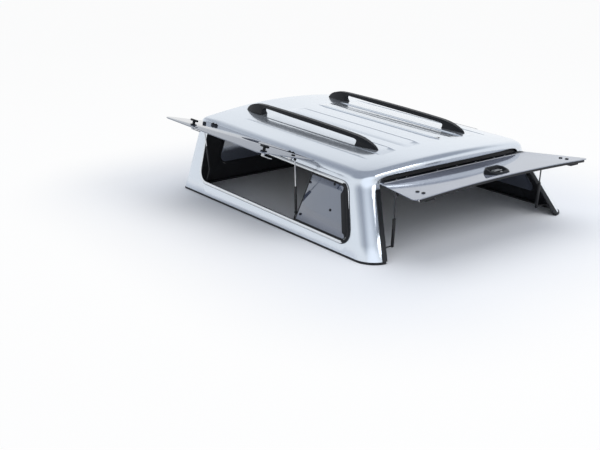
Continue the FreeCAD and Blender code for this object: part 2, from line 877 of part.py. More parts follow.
def linings():
    """Thin black lining inside the roof, the sides and the front wall."""
    space = body(wall + lining, wall + lining, -40.0)
    skin = lined_body.cut(space)
    above = split_block()
    window = plate(window_outline(lining_margin, -60.0), side_normal * 120)
    skin = skin.cut(window).cut(mirror(window))
    skin = skin.cut(plate(front_window_outline(lining_margin, 60.0), V(0, -200, 0)))
    header_back = header_thickness + header_set + rear_rake * (crown_height - opening_height) + header_gap
    rear_block = Part.makeBox(1800, 800, 900, V(-900, header_back - rear_line(opening_height) - 800, -100))
    skin = skin.cut(rear_block)
    skin = skin.cut(Part.makeBox(1800, 2400, 100, V(-900, -2300, seal_height + 2 - 100)))
    roof = skin.common(above)
    walls = skin.cut(above)
    inner_front = -wall - lining
    front_block = Part.makeBox(1800, lining + 1, 900, V(-900, inner_front, -100))
    left_block = Part.makeBox(900, 2200, 900, V(-900, inner_front - 2200, -100))
    left = walls.common(left_block)
    return {
        "roof_lining": roof,
        "front_lining": walls.common(front_block),
        "left_lining": left,
        "right_lining": mirror(left),
    }


def rear_header():
    """Black header between the hood and the door's hinge, set in the rear plane."""
    face = header_set - rear_line(opening_height)
    points = [
        V(-900, face, opening_height),
        V(-900, face + header_thickness, opening_height),
        V(-900, face + header_thickness + 200 * rear_rake, opening_height + 200),
        V(-900, face + 200 * rear_rake, opening_height + 200),
    ]
    slab = plate(Part.makePolygon(points + [points[0]]), V(1800, 0, 0))
    return slab.common(lined_body).common(split_block())


def build():
    """All the canopy's pieces, by name."""
    nodes = {}
    whole = shell()
    nodes.update(shell_pieces(whole))
    nodes["base_seal"] = base_seal()
    nodes["rear_header"] = rear_header()
    nodes.update(linings())
    for name, shape in window_parts().items():
        nodes["left_" + name] = shape
        nodes["right_" + name] = mirror(shape)
    glass = lift_glass()
    nodes["left_lift_glass"] = opened(glass)
    nodes["right_lift_glass"] = mirror(glass)
    hinges = window_hinges()
    nodes["left_window_hinges"] = hinges
    nodes["right_window_hinges"] = mirror(hinges)
    nodes["left_window_struts"] = window_struts(True)
    nodes["right_window_struts"] = mirror(window_struts(False))
    nodes["rear_hinge_rail"] = rear_hinge_rail()
    seal = rear_seals()
    nodes["left_rear_seal"] = seal
    nodes["right_rear_seal"] = mirror(seal)
    nodes["left_t_handles"] = opened(t_handles(False))
    nodes["right_t_handles"] = mirror(t_handles(True))
    front_ring = ring(front_window_outline(-0.2, 0.0), front_window_outline(-12.0, 0.0), V(0, -wall, 0))
    nodes["front_window_seal"] = front_ring
    nodes["front_window"] = plate(front_window_outline(-12.0, -0.5), V(0, -glass_thickness, 0))
    nodes.update(rear_door())
    tube, shaft = struts()
    bracket, lug = strut_brackets()
    for name, shape in (("strut_tube", tube), ("strut_rod", shaft), ("strut_bracket", bracket), ("door_lug", lug)):
        nodes["left_" + name] = shape
        nodes["right_" + name] = mirror(shape)
    rail = roof_rail()
    nodes["left_roof_rail"] = rail
    nodes["right_roof_rail"] = mirror(rail)
    return nodes


os.makedirs("parts", exist_ok=True)
for node, shape in build().items():
    print(node, len(shape.Solids), round(shape.Volume / 1000.0, 1), shape.isValid())
    shape.exportStep("parts/" + node + ".step")
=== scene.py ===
import math

import bmesh
import bpy
from mathutils import Matrix, Vector
from mathutils.bvhtree import BVHTree


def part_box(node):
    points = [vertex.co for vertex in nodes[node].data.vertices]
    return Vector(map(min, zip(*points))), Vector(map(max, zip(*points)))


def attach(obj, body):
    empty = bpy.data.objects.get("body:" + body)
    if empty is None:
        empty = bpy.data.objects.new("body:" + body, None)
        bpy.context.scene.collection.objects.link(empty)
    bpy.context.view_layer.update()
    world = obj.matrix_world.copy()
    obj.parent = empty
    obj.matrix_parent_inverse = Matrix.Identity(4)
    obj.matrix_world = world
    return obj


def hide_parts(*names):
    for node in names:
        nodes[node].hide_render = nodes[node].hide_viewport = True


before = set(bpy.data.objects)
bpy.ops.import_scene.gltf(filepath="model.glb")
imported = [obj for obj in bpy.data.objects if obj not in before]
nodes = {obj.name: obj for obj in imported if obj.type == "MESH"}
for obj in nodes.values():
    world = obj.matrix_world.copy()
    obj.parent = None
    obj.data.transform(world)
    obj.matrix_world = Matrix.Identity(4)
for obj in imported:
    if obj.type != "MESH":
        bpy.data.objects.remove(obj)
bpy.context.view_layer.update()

studio = bpy.context.scene

# Floor: one plain pale sheet that the base seal rests on. Matt paper, wide enough to run out of
# every view, with a little uneven tone so that the shadow lies on something real.
floor_reach = 40.0
floor_shape = bmesh.new()
bmesh.ops.create_grid(floor_shape, x_segments=1, y_segments=1, size=floor_reach)
floor_data = bpy.data.meshes.new("studio_floor")
floor_shape.to_mesh(floor_data)
floor_shape.free()
floor = bpy.data.objects.new("studio_floor", floor_data)
studio.collection.objects.link(floor)


def wired(tree, kind, values=(), links=(), **settings):
    """A node added to a tree, with its settings, its fixed inputs and its links."""
    added = tree.nodes.new("ShaderNode" + kind)
    for setting, choice in settings.items():
        setattr(added, setting, choice)
    for socket, value in values:
        added.inputs[socket].default_value = value
    for socket, source in links:
        tree.links.new(source, added.inputs[socket])
    return added


def toned(tree, source, stops):
    """A ramp between two colours on a value, from (position, colour) pairs."""
    ramp = wired(tree, "ValToRGB", links=[("Fac", source)])
    for element, (position, colour) in zip(ramp.color_ramp.elements, stops):
        element.position = position
        element.color = colour + (1.0,)
    return ramp


def grained(name, tone, second_tone, patch, roughness, spread, grain, depth, metallic=0.0, coat=0.0, gleam=0.5):
    """A surface whose tone and gloss wander over patches, with a fine grain raised on it."""
    finish = bpy.data.materials.new(name)
    finish.use_nodes = True
    tree = finish.node_tree
    place = wired(tree, "TexCoord").outputs["Object"]
    clouds = wired(tree, "TexNoise", [("Scale", patch), ("Detail", 3.0)], [("Vector", place)]).outputs["Fac"]
    tones = toned(tree, clouds, ((0.3, tone), (0.7, second_tone)))
    gloss = wired(
        tree, "MapRange", [("To Min", roughness - spread), ("To Max", roughness + spread)], [("Value", clouds)]
    )
    specks = wired(tree, "TexNoise", [("Scale", grain), ("Detail", 2.0)], [("Vector", place)])
    relief = wired(tree, "Bump", [("Strength", 1.0), ("Distance", depth)], [("Height", specks.outputs["Fac"])])
    shader = tree.nodes["Principled BSDF"]
    tree.links.new(tones.outputs["Color"], shader.inputs["Base Color"])
    tree.links.new(gloss.outputs["Result"], shader.inputs["Roughness"])
    tree.links.new(relief.outputs["Normal"], shader.inputs["Normal"])
    for socket, value in (
        ("Metallic", metallic), ("Specular IOR Level", gleam), ("Coat Weight", coat), ("Coat Roughness", 0.02),
    ):
        shader.inputs[socket].default_value = value
    return finish


pale_floor = grained("pale_floor", (0.88, 0.89, 0.91), (0.86, 0.87, 0.89), 0.6, 0.9, 0.02, 40.0, 0.0002)
floor_data.materials.append(pale_floor)

# The floor's white paper glows a little with painted light where the camera, glass or polish sees it,
# but only clear of the canopy, so that the shade under and beside it stays true.
canopy_middle = (0.0, -1.0, 0.0)
shade_reach = (0.72, 0.95, 0.0)
glow_distance = 1.3
glow_most = 0.93
floor_tree = pale_floor.node_tree
spot = wired(floor_tree, "TexCoord").outputs["Object"]
for operation, amount in (
    ("SUBTRACT", canopy_middle), ("ABSOLUTE", None), ("SUBTRACT", shade_reach), ("MAXIMUM", (0.0, 0.0, 0.0)),
):
    values = [] if amount is None else [(1, amount)]
    spot = wired(floor_tree, "VectorMath", values, [(0, spot)], operation=operation).outputs["Vector"]
clear = wired(floor_tree, "VectorMath", links=[(0, spot)], operation="LENGTH")
glow_share = wired(
    floor_tree, "MapRange", [("From Max", glow_distance), ("To Max", glow_most)],
    [("Value", clear.outputs["Value"])], interpolation_type="SMOOTHSTEP",
)
ray = wired(floor_tree, "LightPath")
glow = ray.outputs["Is Camera Ray"]
for operation, source in (
    ("MAXIMUM", ray.outputs["Is Glossy Ray"]), ("MAXIMUM", ray.outputs["Is Transmission Ray"]),
    ("MULTIPLY", glow_share.outputs["Result"]),
):
    glow = wired(floor_tree, "Math", links=[(0, glow), (1, source)], operation=operation).outputs["Value"]
# This white emission is painted glow on the floor, which is no lamp.
painted_floor_glow = wired(floor_tree, "Emission", [("Color", (1.0, 1.0, 1.0, 1.0)), ("Strength", 1.0)])
matt_paper = floor_tree.nodes["Principled BSDF"]
paper_mix = wired(floor_tree, "MixShader", links=[
    ("Fac", glow), (1, matt_paper.outputs["BSDF"]), (2, painted_floor_glow.outputs["Emission"]),
])
floor_tree.links.new(paper_mix.outputs["Shader"], floor_tree.nodes["Material Output"].inputs["Surface"])

# Studio air: white all round the horizon, where the glossy paint and the glass look, and greyer
# overhead, which draws the soft dark band along the canopy's shoulders. It is brighter high behind
# the camera, as from a large window.
sky = bpy.data.worlds.new("studio_air")
studio.world = sky
sky.use_nodes = True
sky_tree = sky.node_tree
bearing = wired(sky_tree, "TexCoord").outputs["Generated"]
split = wired(sky_tree, "SeparateXYZ", links=[("Vector", bearing)])
fade = toned(sky_tree, split.outputs["Z"], ((0.4, (0.95, 0.975, 1.0)), (0.72, (0.24, 0.27, 0.33))))
fade.color_ramp.interpolation = "EASE"
window_way = (-0.52, -0.74, 0.42)
window_white = (1.15, 1.2, 1.28, 1.0)
window_side = wired(sky_tree, "VectorMath", [(1, window_way)], [(0, bearing)], operation="DOT_PRODUCT")
soft_edge = wired(
    sky_tree, "MapRange", [("From Min", 0.8), ("From Max", 0.97)], [("Value", window_side.outputs["Value"])],
    interpolation_type="SMOOTHSTEP",
)
brighten = wired(
    sky_tree, "Mix", [("B", window_white)],
    [("Factor", soft_edge.outputs["Result"]), ("A", fade.outputs["Color"])], data_type="RGBA",
)
backdrop = sky_tree.nodes["Background"]
backdrop.inputs["Strength"].default_value = 1.0
sky_tree.links.new(brighten.outputs["Result"], backdrop.inputs["Color"])

# Lamps: a wide soft box overhead that the paint doesn't mirror, and a soft box high behind the
# canopy that lights the rear pillars and the door.
for name, place, aim, size, power, mirrored in (
    ("overhead_box", (0.0, -0.9, 4.5), (0.0, -0.9, 0.0), (5.0, 5.0), 105.0, False),
    ("rear_box", (1.2, -6.4, 4.6), (0.0, -1.6, 0.3), (3.4, 2.4), 110.0, True),
):
    lamp = bpy.data.lights.new(name, "AREA")
    lamp.shape = "RECTANGLE"
    lamp.size, lamp.size_y = size
    lamp.energy = power
    lamp_object = bpy.data.objects.new(name, lamp)
    studio.collection.objects.link(lamp_object)
    lamp_object.location = place
    lamp_object.rotation_euler = (Vector(aim) - Vector(place)).to_track_quat("-Z", "Y").to_euler()
    lamp_object.visible_glossy = mirrored

# Camera: it stands where the photo was taken from, with the same lens and framing. Both were worked
# out from the object's known sizes.
frame_width = 600.0
frame_height = 450.0
focal_pixels = 983.19
lens_middle = (278.308, 231.044)
camera = bpy.data.cameras.new("camera")
camera.sensor_width = 36.0
camera.lens = focal_pixels * camera.sensor_width / frame_width
camera.shift_x = (frame_width / 2.0 - lens_middle[0]) / frame_width
camera.shift_y = (lens_middle[1] - frame_height / 2.0) / frame_width
camera_object = bpy.data.objects.new("camera", camera)
studio.collection.objects.link(camera_object)
right = Vector((0.80673351, -0.59090489, -0.00352822))
up = Vector((0.19379337, 0.25892661, 0.94625638))
forward = Vector((0.55823398, 0.76406048, -0.32339823))
camera_object.matrix_world = (
    Matrix.Translation((-3.961713, -5.40718989, 1.82320125))
    @ Matrix((right, up, -forward)).transposed().to_4x4()
)
studio.camera = camera_object
studio.view_settings.view_transform = "Standard"

# Shell: one glass-fibre moulding, painted metallic silver under a clear coat. It is drawn as one
# skin that follows its own outline from the base up, over the shoulder and in to the roof's
# middle, then given its thickness, and the openings are cut as they are after moulding.
half_width = 0.789
lean = 0.34
side_fall = math.atan(lean)
rake = 0.6
length = 1.872
seal_top = 0.012
rear_radius = 0.12
front_radius = 0.035
roof_top = 0.508
roof_fall = 0.02
tail_start = 1.4
tail_drop = 0.026
crown_rise = 0.051
shoulder_drop = 0.06
shoulder_inset = 0.042
header_low = 0.346
header_high = 0.386
hood_start = 0.335
hood_rise = 0.075
hood_swing = math.radians(10.8)


def eased(share):
    """A share from 0 to 1 that starts and ends gently."""
    return share * share * (3.0 - 2.0 * share)


def crown(back):
    """Height of the roof's middle line at a distance behind the front edge."""
    tail = max(0.0, back - tail_start) / (length - tail_start)
    return roof_top - roof_fall * back - tail_drop * tail * tail


def roof_height(across, back):
    """Height of the crowned roof at a distance from the middle line."""
    span = half_width - lean * (crown(back) - shoulder_drop) - shoulder_inset
    radius = (span * span + crown_rise * crown_rise) / (2.0 * crown_rise)
    return crown(back) - radius + math.sqrt(radius * radius - across * across)


def rear_back(height):
    """Distance of the rear end behind the front edge: raked up to the header, upright above it."""
    if height > header_low:
        bend = header_high - header_low
        share = min(1.0, (height - header_low) / bend)
        height = header_low + bend * (share - share * share / 2.0)
    return length - rake * height


def outline(part, share, height):
    """A point of the shell's plan outline at a height, on the right side."""
    side = half_width - lean * height
    back = rear_back(height)
    if part == "front":
        return Vector(((side - front_radius) * share, 0.0))
    if part == "front_corner":
        turn = share * math.pi / 2.0
        return Vector((side, 0.0)) + Vector((math.sin(turn) - 1.0, math.cos(turn) - 1.0)) * front_radius
    if part == "side":
        return Vector((side, -front_radius - (back - rear_radius - front_radius) * share))
    swing = hood_swing * eased(max(0.0, min(1.0, (height - hood_start) / hood_rise)))
    sweep = math.pi / 2.0 - swing
    turn = share * sweep if part == "rear_corner" else sweep
    meet = Vector((side, -back)) + Vector((math.cos(turn) - 1.0, 1.0 - math.sin(turn))) * rear_radius
    if part == "rear_corner":
        return meet
    across = meet.x * (1.0 - share)
    bow = meet.x * math.tan(swing / 2.0)
    return Vector((across, meet.y - bow * (1.0 - (across / meet.x) ** 2)))


columns = []
for part, count in (("front", 8), ("front_corner", 8), ("side", 30), ("rear_corner", 16), ("tail", 18)):
    columns += [(part, step / count) for step in range(count)]
columns.append(("tail", 1.0))
wall_shares = (0.0, 0.2, 0.4, 0.6, 0.74, 0.8, 0.84, 0.88, 0.91, 0.94, 0.97, 1.0)
bend_steps = 10
roof_steps = 12
ridge_front = -0.25
ridge_rear = -1.35


def shell_column(part, share):
    """The skin's points from the base to the roof's middle at one place of the outline."""
    depth = inset = 0.03
    if part == "front":
        inset += 0.012 * min(1.0, 6.0 * (1.0 - share))
    if part == "side":
        depth += 0.007 * eased(min(1.0, share / 0.12))
        inset += 0.021 * eased(min(1.0, share / 0.12))
    if part == "rear_corner":
        depth += 0.007 * (1.0 - share)
        inset += 0.021 - 0.005 * share
    if part == "tail":
        inset = 0.046
    edge = 0.44
    for settle_step in range(8):
        spot = outline(part, share, edge)
        edge = roof_height(spot.x, -spot.y)
    spot = outline(part, share, edge)
    ahead = outline(part, min(1.0, share + 0.01), edge)
    behind = outline(part, max(0.0, share - 0.01), edge)
    along = (ahead - behind).normalized()
    inward = Vector((along.y, -along.x))
    inner = spot + inward * inset
    middle = Vector((0.0, max(ridge_rear, min(ridge_front, inner.y))))
    top = edge - depth
    foot_height = seal_top - 0.0005
    points = []
    for level in wall_shares:
        height = foot_height + (top - foot_height) * level
        foot = outline(part, share, height)
        points.append(Vector((foot.x, foot.y, height)))
    first = points[-1]
    peak = Vector((spot.x, spot.y, edge))
    last = Vector((inner.x, inner.y, roof_height(inner.x, -inner.y)))
    for step in range(1, bend_steps + 1):
        bend = step / bend_steps
        points.append(first * (1 - bend) ** 2 + peak * 2 * bend * (1 - bend) + last * bend * bend)
    for step in range(1, roof_steps + 1):
        spot = inner.lerp(middle, step / roof_steps)
        points.append(Vector((spot.x, spot.y, roof_height(spot.x, -spot.y))))
    return points


def other_side(rows):
    """The left side's rows of points, in reverse order, from the right side's."""
    return [[Vector((-point.x, point.y, point.z)) for point in row] for row in reversed(rows)]


ladder = [shell_column(part, share) for part, share in columns]
ladder += other_side(ladder)


def laid_over(rows):
    """A grid laid over rows of points, each row with the same number of them."""
    shape = bmesh.new()
    across = len(rows) - 1
    along = len(rows[0]) - 1
    bmesh.ops.create_grid(shape, x_segments=across, y_segments=along, size=1.0)
    for vertex in shape.verts:
        row = round((vertex.co.x + 1.0) / 2.0 * across)
        vertex.co = rows[row][round((vertex.co.y + 1.0) / 2.0 * along)]
    return shape


shell_shape = laid_over(ladder)
bmesh.ops.remove_doubles(shell_shape, verts=shell_shape.verts, dist=0.0002)
bmesh.ops.recalc_face_normals(shell_shape, faces=shell_shape.faces)
highest = max(shell_shape.faces, key=lambda face: face.calc_center_median().z)
if highest.normal.z < 0.0:
    bmesh.ops.reverse_faces(shell_shape, faces=shell_shape.faces)


def put_down(shape, name):
    """A bmesh written into a new object at the origin."""
    data = bpy.data.meshes.new(name)
    shape.to_mesh(data)
    shape.free()
    item = bpy.data.objects.new(name, data)
    studio.collection.objects.link(item)
    return item


def side_point(back, height, out, side):
    """A point on the left (-1) or right (1) outer face, or standing out from it, in metres."""
    across = half_width - lean * height + out * math.cos(side_fall)
    return Vector((side * across, -back, height + out * math.sin(side_fall)))


def side_facing(side):
    """The direction that the left (-1) or right (1) side faces."""
    return Vector((side * math.cos(side_fall), 0.0, math.sin(side_fall)))


def rounded_face(shape, corners, radii, steps=12):
    """A flat face with rounded corners, from its corner points."""
    vertices = [shape.verts.new(corner) for corner in corners]
    shape.faces.new(vertices)
    shape.normal_update()
    count = len(corners)
    for index, radius in enumerate(radii):
        before = (corners[index - 1] - corners[index]).normalized()
        after = (corners[(index + 1) % count] - corners[index]).normalized()
        cut = radius / math.tan(before.angle(after) / 2.0)
        bmesh.ops.bevel(
            shape, geom=[vertices[index]], offset=cut, offset_type="OFFSET", segments=steps,
            profile=0.5, affect="VERTICES", material=-1,
        )
    return max(shape.faces, key=lambda face: face.calc_area())


def window_corners(grow, out, side):
    """The side window's four corners on its side's face, grown all round by an amount."""
    corners = [
        side_point(0.122 - grow, 0.386 + grow, out, side),
        side_point(1.526 + grow, 0.3495 + grow, out, side),
        side_point(1.664 + grow, 0.0701 - grow, out, side),
        side_point(0.17 - grow, 0.088 - grow, out, side),
    ]
    return corners, [radius + grow for radius in (0.034, 0.062, 0.046, 0.092)]


def thickened(shape, face, thrust):
    """A flat face drawn out into a block, closed at both ends."""
    made = bmesh.ops.extrude_face_region(shape, geom=[face], use_keep_orig=True)
    moved = [item for item in made["geom"] if isinstance(item, bmesh.types.BMVert)]
    bmesh.ops.translate(shape, verts=moved, vec=thrust)
    bmesh.ops.recalc_face_normals(shape, faces=shape.faces)


cutters = []


def cut_through(name, corners, radii, thrust):
    """A cutter for one opening of the shell, from its corners."""
    cutter = bmesh.new()
    thickened(cutter, rounded_face(cutter, corners, radii), thrust)
    cutters.append(put_down(cutter, name))


both_sides = ((-1, "left"), (1, "right"))
for side, name in both_sides:
    corners, radii = window_corners(0.0, -0.04, side)
    cut_through(name + "_window_cutter", corners, radii, side_facing(side) * 0.08)
front_corners = [
    Vector((across, 0.03, height))
    for across, height in ((-0.52, 0.112), (0.52, 0.112), (0.4316, 0.372), (-0.4316, 0.372))
]
cut_through("front_window_cutter", front_corners, [0.052] * 4, Vector((0.0, -0.06, 0.0)))
opening_half = 0.675
lip_corner = 0.391
lip_top = 0.4155
below = 0.06
corner_half = opening_half - lean * lip_corner
foot_half = opening_half + lean * below
arch = [
    Vector((across, -2.05, height))
    for across, height in (
        (-foot_half, -below), (foot_half, -below), (corner_half, lip_corner), (0.47, lip_top - 0.012),
        (0.25, lip_top - 0.003), (0.0, lip_top), (-0.25, lip_top - 0.003), (-0.47, lip_top - 0.012),
        (-corner_half, lip_corner),
    )
]
arch_radii = [0.002, 0.002, 0.045, 0.4, 3.0, 3.0, 3.0, 0.4, 0.045]
cut_through("rear_opening_cutter", arch, arch_radii, Vector((0.0, 0.7, 0.0)))

wall_thickness = 0.006
skin = put_down(shell_shape, "shell_skin")
wall = skin.modifiers.new("wall", "SOLIDIFY")
wall.thickness = wall_thickness
wall.offset = -1.0
wall.use_even_offset = True
for cutter in cutters:
    cut = skin.modifiers.new(cutter.name, "BOOLEAN")
    cut.operation = "DIFFERENCE"
    cut.solver = "EXACT"
    cut.object = cutter
trimmed = bpy.data.meshes.new_from_object(skin.evaluated_get(bpy.context.evaluated_depsgraph_get()))
shell_shape = bmesh.new()
shell_shape.from_mesh(trimmed)
for spare in cutters + [skin]:
    bpy.data.objects.remove(spare, do_unlink=True)
bpy.data.meshes.remove(trimmed)
bmesh.ops.remove_doubles(shell_shape, verts=shell_shape.verts, dist=0.00005)
bmesh.ops.dissolve_degenerate(shell_shape, dist=0.00005, edges=shell_shape.edges)
for vertex in shell_shape.verts:
    if vertex.co.z < seal_top + 0.001:
        vertex.co.z = seal_top


def ease_edges(shape, width, least=50.0, steps=2):
    """Rounds every edge that turns by more than an angle, as a mould or a file would."""
    sharp = [
        edge for edge in shape.edges
        if len(edge.link_faces) == 2 and math.degrees(edge.calc_face_angle(0.0)) > least
    ]
    bmesh.ops.bevel(
        shape, geom=sharp, offset=width, offset_type="OFFSET", segments=steps, profile=0.5,
        affect="EDGES", clamp_overlap=True, material=-1,
    )


ease_edges(shell_shape, 0.0016, 55.0)


def finished(shape, name, body, finish, smooth=38.0):
    """A new piece at the origin that rides on a body, with its material."""
    item = put_down(shape, name)
    item.data.polygons.foreach_set("use_smooth", [True] * len(item.data.polygons))
    item.data.set_sharp_from_angle(angle=math.radians(smooth))
    slot, material = finish
    item.data.materials.append(material)
    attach(item, body)
    return item


silver_paint = ("paint", grained(
    "silver_paint", (0.66, 0.71, 0.775), (0.7, 0.75, 0.815),
    patch=2.5, roughness=0.17, spread=0.02, grain=2600.0, depth=0.000002, metallic=0.8, coat=1.0,
))
lining_finish = ("lining", grained(
    "black_gelcoat", (0.009, 0.01, 0.013), (0.015, 0.017, 0.021),
    patch=14.0, roughness=0.46, spread=0.08, grain=420.0, depth=0.00018, gleam=0.35,
))
shell = finished(shell_shape, "canopy_shell", "canopy", silver_paint)
shell.data.materials.append(lining_finish[1])
core_front = -0.3
core_rear = -1.45
core_top = 0.2
inner_share = -0.25
# The faces that look in at the shell's core show the bare gelcoat.
for face in shell.data.polygons:
    spot = face.center
    core = Vector((0.0, max(core_rear, min(core_front, spot.y)), min(core_top, spot.z)))
    if face.normal.dot((spot - core).normalized()) < inner_share:
        face.material_index = 1
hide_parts("roof_shell", "front_panel", "left_side_shell", "right_side_shell")

# Linings: a black moulded inner skin bonded behind the paint on the roof, the front and both sides.
# It stops short of the openings and of the rear corners. Its surface has a fine orange peel.


def sliced(shape, place, facing, clear=False):
    """Cuts a shape's faces along a plane, and clears what lies behind it where asked."""
    bmesh.ops.bisect_plane(
        shape, geom=shape.verts[:] + shape.edges[:] + shape.faces[:], dist=0.000001, plane_co=place,
        plane_no=facing, clear_inner=clear,
    )


rim_margin = 0.0045
lining_end = 1.54
lining_foot = 0.0145
lining_gap = 0.0004
lining_thickness = 0.0026
outer_wall = bmesh.new()
outer_wall.from_mesh(shell.data)
bmesh.ops.delete(
    outer_wall, geom=[face for face in outer_wall.faces if face.material_index == 1], context="FACES"
)
wall_tree = BVHTree.FromBMesh(outer_wall)
outer_wall.free()
lining_shape = bmesh.new()
lining_shape.from_mesh(shell.data)
spare_faces = [
    face for face in lining_shape.faces
    if face.material_index == 0 or wall_tree.find_nearest(face.calc_center_median())[3] < rim_margin
]
bmesh.ops.delete(lining_shape, geom=spare_faces, context="FACES")
sliced(lining_shape, (0.0, -lining_end, 0.0), (0.0, 1.0, 0.0), True)
sliced(lining_shape, (0.0, 0.0, lining_foot), (0.0, 0.0, 1.0), True)
lining_shape.normal_update()
for vertex in lining_shape.verts:
    vertex.co += vertex.normal * lining_gap
bmesh.ops.solidify(lining_shape, geom=lining_shape.faces[:], thickness=-lining_thickness)
bmesh.ops.recalc_face_normals(lining_shape, faces=lining_shape.faces)
lining = finished(lining_shape, "inner_lining", "canopy", lining_finish)
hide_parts("roof_lining", "front_lining", "left_lining", "right_lining")

# Roof ribs: four flat raised ribs moulded in one with the roof to stiffen it, painted with it, and a
# fine crease outside them. Each follows the roof's crown and sinks back into it at both ends.


def swept(rings, closed=False):
    """A bar through a row of cross-sections, each a closed ring of points, with its ends shut."""
    if closed:
        rings = rings + [rings[0]]
    shape = laid_over([ring + [ring[0]] for ring in rings])
    bmesh.ops.remove_doubles(shape, verts=shape.verts, dist=0.00002)
    bmesh.ops.holes_fill(shape, edges=[edge for edge in shape.edges if edge.is_boundary], sides=0)
    bmesh.ops.recalc_face_normals(shape, faces=shape.faces)
    return shape


rib_top = 0.0045
rib_start = 0.32
rib_end = 1.49
rib_runout = 0.11


def roof_strip(side, middle, section, top, start, end, runout, name):
    """A strip raised on the roof: its section runs across, and it sinks away at both ends."""
    spans = 56
    rooted = -0.0026
    rings = []
    for step in range(spans + 1):
        back = start + (end - start) * step / spans
        fade = min(1.0, (back - start) / runout, (end - back) / runout)
        lift = top * math.sin(fade * math.pi / 2.0) - 0.001 * (1.0 - fade)
        ring = []
        for across, share in section:
            place = middle + across
            rise = lift * share if share > 0.0 else rooted
            ring.append(Vector((side * place, -back, roof_height(place, back) + rise)))
        rings.append(ring)
    finished(swept(rings), name, "canopy", silver_paint, 30.0)


inner_rib = (
    (-0.061, -0.6), (-0.0585, 0.95), (-0.057, 1.4), (-0.0545, 1.45), (-0.052, 1.0), (0.0, 1.0), (0.02, 1.0),
    (0.034, 0.86), (0.046, 0.45), (0.056, 0.08), (0.058, -0.6),
)
outer_rib = (
    (-0.06, -0.6), (-0.0575, 0.9), (-0.056, 1.3), (-0.0535, 1.35), (-0.051, 0.9), (-0.02, 0.9),
    (0.01, 0.8), (0.034, 0.55), (0.05, 0.25), (0.062, 0.03), (0.066, -0.6),
)
edge_crease = ((-0.0055, -0.6), (-0.0035, 0.7), (-0.0015, 1.0), (0.001, 1.0), (0.0045, 0.5), (0.0065, -0.6))
for side, name in both_sides:
    roof_strip(side, 0.135, inner_rib, rib_top, rib_start, rib_end, rib_runout, name + "_inner_rib")
    roof_strip(side, 0.325, outer_rib, rib_top, rib_start, rib_end, rib_runout, name + "_outer_rib")
    roof_strip(side, 0.472, edge_crease, 0.0026, 0.25, 1.48, 0.09, name + "_edge_crease")

# Base seal: a black rubber strip glued under the shell's foot. It follows the shell's outline
# right round to both sides of the rear opening, and the weight of the canopy squeezes it a little.
rubber = ("rubber", grained(
    "black_rubber", (0.01, 0.011, 0.013), (0.016, 0.017, 0.02),
    patch=9.0, roughness=0.58, spread=0.06, grain=900.0, depth=0.00012, gleam=0.3,
))
seal_width = 0.024
seal_section = (
    (0.0035, 0.0), (0.0012, 0.0012), (0.0008, 0.0055), (0.0016, 0.0064), (0.0012, 0.0072), (0.003, 0.0118),
    (0.0055, 0.0124), (seal_width - 0.002, 0.0124), (seal_width, 0.01), (seal_width, 0.0015),
    (seal_width - 0.0015, 0.0),
)
rings = []
stations = [(part, share) for part, share in columns if part != "tail"] + [("tail", 0.0)]
trail = [outline(part, share, 0.0) for part, share in stations]
trail = [point for point in trail if point.y > -1.7 or point.x > 0.676]
for index, spot in enumerate(trail):
    ahead = trail[min(index + 1, len(trail) - 1)]
    behind = trail[max(index - 1, 0)]
    along = (ahead - behind).normalized()
    if index == 0:
        along = Vector((1.0, 0.0))
    inward = Vector((along.y, -along.x))
    ring = []
    for depth, height in seal_section:
        point = spot + inward * depth
        ring.append(Vector((point.x, point.y, height)))
    rings.append(ring)
seal = finished(swept(other_side(rings) + rings[1:]), "foot_seal", "canopy", rubber, 50.0)
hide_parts("base_seal")

# Header: a dark moulded channel under the hood that closes the roof's hollow and carries the door's
# hinge. Its upper corners are trimmed to lie behind the shell.


def softened(node, name, width, body, finish, least=50.0, smooth=35.0, second=None, chosen=None):
    """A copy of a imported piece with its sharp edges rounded, which stands for the piece."""
    shape = bmesh.new()
    shape.from_mesh(nodes[node].data)
    bmesh.ops.remove_doubles(shape, verts=shape.verts, dist=0.00001)
    bmesh.ops.dissolve_limit(shape, angle_limit=math.radians(0.6), verts=shape.verts, edges=shape.edges)
    ease_edges(shape, width, least)
    item = finished(shape, name, body, finish, smooth)
    if second is not None:
        item.data.materials.append(second[1])
        for face in item.data.polygons:
            if chosen(face.center):
                face.material_index = 1
    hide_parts(node)
    return item


header = softened("rear_header", "hood_channel", 0.0015, "canopy", lining_finish)
header_depth = 0.0072
header_reach = 0.03
# Each pass moves in the points that are still too near the outer face.
for settle_step in range(4):
    for vertex in header.data.vertices:
        near_point, facing, face_index, gap = wall_tree.find_nearest(vertex.co)
        depth = (near_point - vertex.co).dot(facing)
        if gap < header_reach and depth < header_depth:
            vertex.co -= facing * (header_depth - depth)

# Side window frames: bright anodised aluminium rims screwed round both side openings. Each has a black
# rubber bead pressed into its inner edge, and a thin black line round its outer one that is painted shade
# of the gap between rim and shell.
bright_rim = ("bright_rim", grained(
    "bright_anodised", (0.68, 0.71, 0.74), (0.74, 0.76, 0.79),
    patch=20.0, roughness=0.24, spread=0.04, grain=1600.0, depth=0.00001, metallic=0.9,
))


def window_loop(grow, out, side):
    """Points all round the side window, in order, on its side's face."""
    shape = bmesh.new()
    corners, radii = window_corners(grow, out, side)
    face = rounded_face(shape, corners, radii, 16)
    loop = [vertex.co.copy() for vertex in face.verts]
    shape.free()
    return loop


def inward_way(along, side, spot, centre):
    """The way in from a spot on a side window's edge, across the edge's run and towards a centre."""
    inward = along.cross(side_facing(side)).normalized()
    return -inward if inward.dot(centre - spot) < 0.0 else inward


